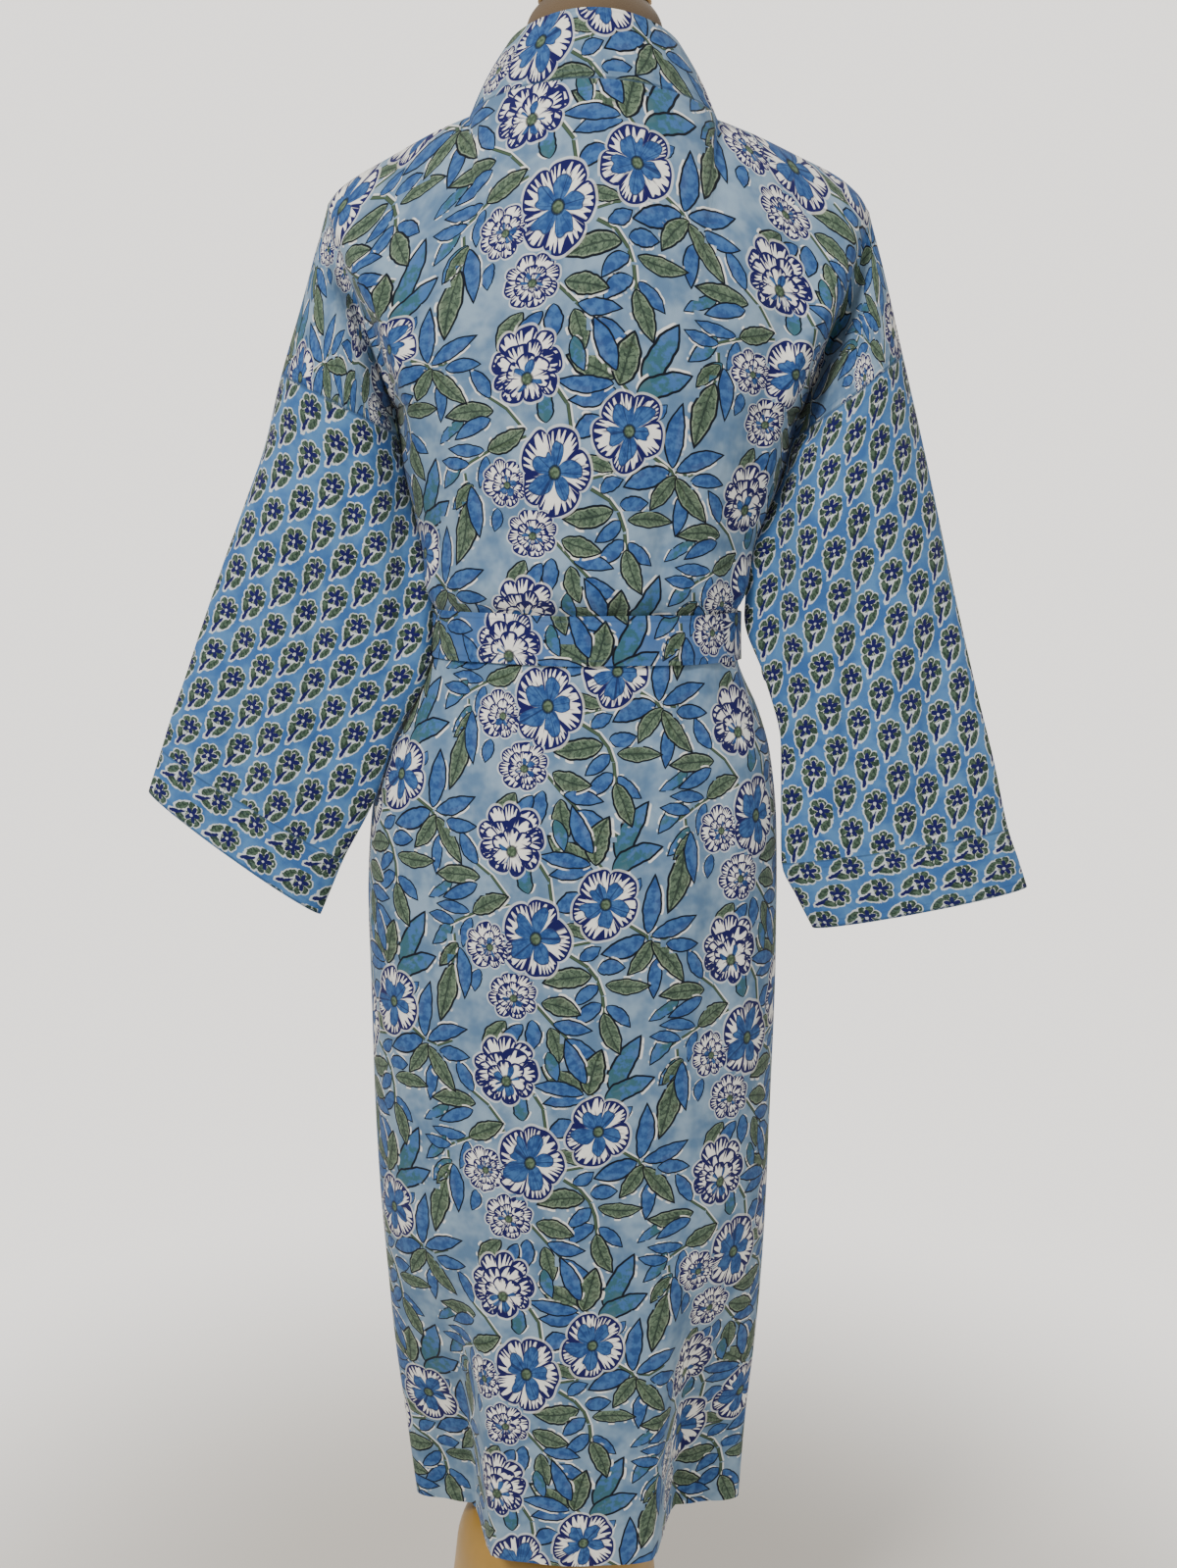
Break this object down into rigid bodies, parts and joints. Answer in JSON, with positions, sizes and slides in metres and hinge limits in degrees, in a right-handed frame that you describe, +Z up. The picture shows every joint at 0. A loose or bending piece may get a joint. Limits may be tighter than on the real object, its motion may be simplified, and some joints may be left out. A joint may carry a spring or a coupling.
{
  "type": "kimono robe on a dress form",
  "caption": "Long belted cotton kimono robe with drop shoulders, wide sleeves and a band collar, worn by a limbless dress form on a stand.",
  "frame": {"origin": "on the floor, under the middle of the part's outline seen from above", "axes": "+Z up, the robe's front towards -Y and its back towards +Y, its left sleeve towards +X"},
  "size_m": [0.7399, 0.302, 1.577],
  "materials": {
    "cotton_flowers": "matt block-printed cotton, open flowers and leaves on pale grey blue",
    "cotton_sprigs": "matt block-printed cotton, small sprigs on mid blue",
    "form_cloth": "matt olive brown form cover",
    "gold_trim": "worn gold rim",
    "dark_wood": "varnished dark red brown",
    "ochre_paint": "painted ochre, satin"
  },
  "bodies": {
    "root": {"back": "cotton_flowers", "front_left": "cotton_flowers", "front_right": "cotton_flowers", "sleeve_left": "cotton_sprigs", "sleeve_right": "cotton_sprigs", "cuff_left": "cotton_sprigs", "cuff_right": "cotton_sprigs", "collar": "cotton_flowers", "belt": "cotton_flowers", "belt_knot": "cotton_flowers", "belt_end_left": "cotton_flowers", "belt_end_right": "cotton_flowers", "form_torso": "form_cloth", "form_neck": "form_cloth", "form_rim": "gold_trim", "form_cap": "dark_wood", "stand_post": "dark_wood", "stand_foot": "ochre_paint"}
  },
  "joints": []
}
